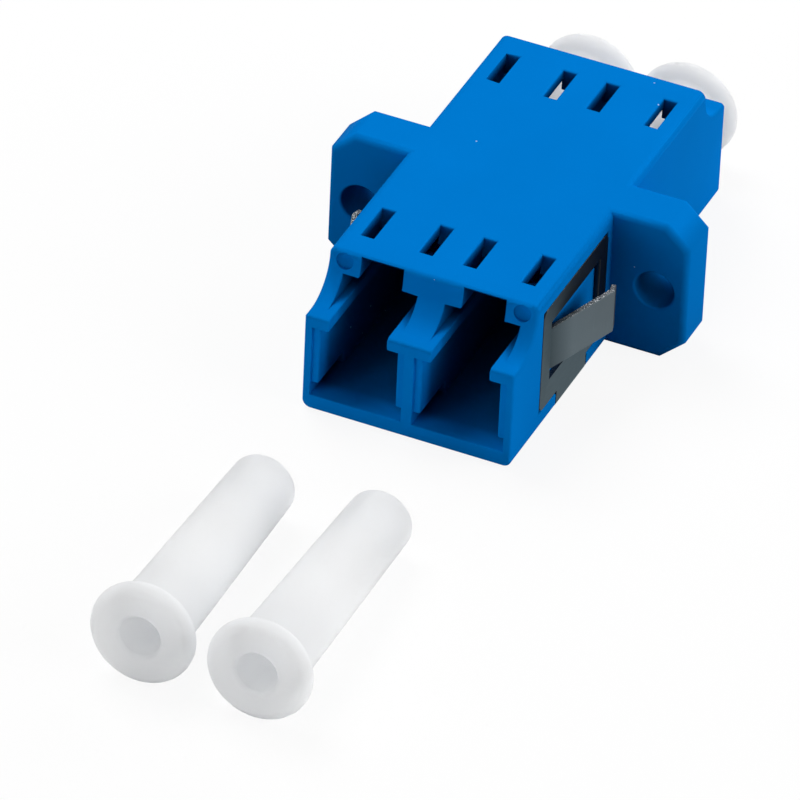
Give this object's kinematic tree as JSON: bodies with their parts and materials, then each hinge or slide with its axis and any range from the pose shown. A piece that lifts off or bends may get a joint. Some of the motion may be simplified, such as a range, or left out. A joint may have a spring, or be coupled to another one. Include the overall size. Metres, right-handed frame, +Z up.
{
  "type": "duplex fibre adapter",
  "caption": "Flanged duplex fibre adapter with latching plug ports at both ends, floating alignment sleeves, a snap-in panel clip and pull-out dust plugs.",
  "frame": {"origin": "on the bottom face, under the middle of the flange", "axes": "+X across the ports, +Y from the front ports to the rear ports, +Z up from the bottom face"},
  "size_m": [0.0222, 0.0602, 0.0091],
  "materials": {
    "housing_plastic": "satin blue",
    "sleeve_ceramic": "polished white ceramic",
    "clip_steel": "stamped spring steel",
    "plug_plastic": "white, slightly translucent"
  },
  "bodies": {
    "adapter": {"housing": "housing_plastic", "sleeve_holder_left": "housing_plastic", "sleeve_holder_right": "housing_plastic", "alignment_sleeve_left": "sleeve_ceramic", "alignment_sleeve_right": "sleeve_ceramic", "mounting_clip": "clip_steel", "front_dust_plug_left": "plug_plastic", "front_dust_plug_right": "plug_plastic"},
    "rear_plug_left": {"rear_dust_plug_left": "plug_plastic"},
    "rear_plug_right": {"rear_dust_plug_right": "plug_plastic"}
  },
  "joints": [
    {"name": "rear_plug_left_pull", "type": "slide", "parent": "adapter", "child": "rear_plug_left", "axis": [0, 1, 0], "range_m": [0, 0.016]},
    {"name": "rear_plug_right_pull", "type": "slide", "parent": "adapter", "child": "rear_plug_right", "axis": [0, 1, 0], "range_m": [0, 0.016]}
  ]
}
